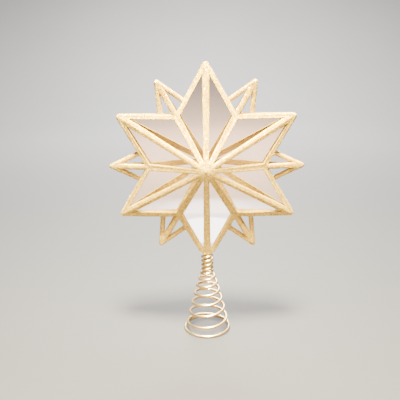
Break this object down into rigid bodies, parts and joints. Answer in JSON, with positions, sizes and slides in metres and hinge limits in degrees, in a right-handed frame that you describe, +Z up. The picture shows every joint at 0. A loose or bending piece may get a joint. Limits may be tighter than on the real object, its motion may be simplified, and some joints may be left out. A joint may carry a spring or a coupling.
{
  "type": "tree topper",
  "caption": "Glittered faceted star with mirror facets and small open rays, carried by a conical wire spring that grips the top of a tree.",
  "frame": {"origin": "middle of the spring's foot, on the surface that it stands on", "axes": "+Z up along the spring's axis, -Y out of the star's front face, +X to the right seen from the front"},
  "size_m": [0.195, 0.061, 0.2824],
  "materials": {
    "spring_wire": "champagne-gold plated wire, shiny",
    "stem_plastic": "gold plastic with fine glitter",
    "glitter_frame": "champagne-gold glitter on moulded plastic",
    "mirror_sheet": "silvered acrylic sheet"
  },
  "bodies": {
    "spring": {"cone_spring": "spring_wire"},
    "stem": {"spring_stem": "stem_plastic"},
    "star": {"front_frame": "glitter_frame", "back_frame": "glitter_frame", "front_mirror": "mirror_sheet", "back_mirror": "mirror_sheet", "ray_1_oclock": "glitter_frame", "ray_3_oclock": "glitter_frame", "ray_5_oclock": "glitter_frame", "ray_7_oclock": "glitter_frame", "ray_9_oclock": "glitter_frame", "ray_11_oclock": "glitter_frame"}
  },
  "joints": [
    {"name": "spring_squeeze", "type": "slide", "parent": "spring", "child": "stem", "axis": [0, 0, 1], "range_m": [-0.03, 0.012], "stiffness_N_per_m": 1830, "springref_m": 0.00107, "deforming": ["cone_spring"]},
    {"name": "star_swivel", "type": "hinge", "parent": "stem", "child": "star", "pos_m": [0, 0, 0.0886], "axis": [0, 0, 1], "continuous": true}
  ]
}
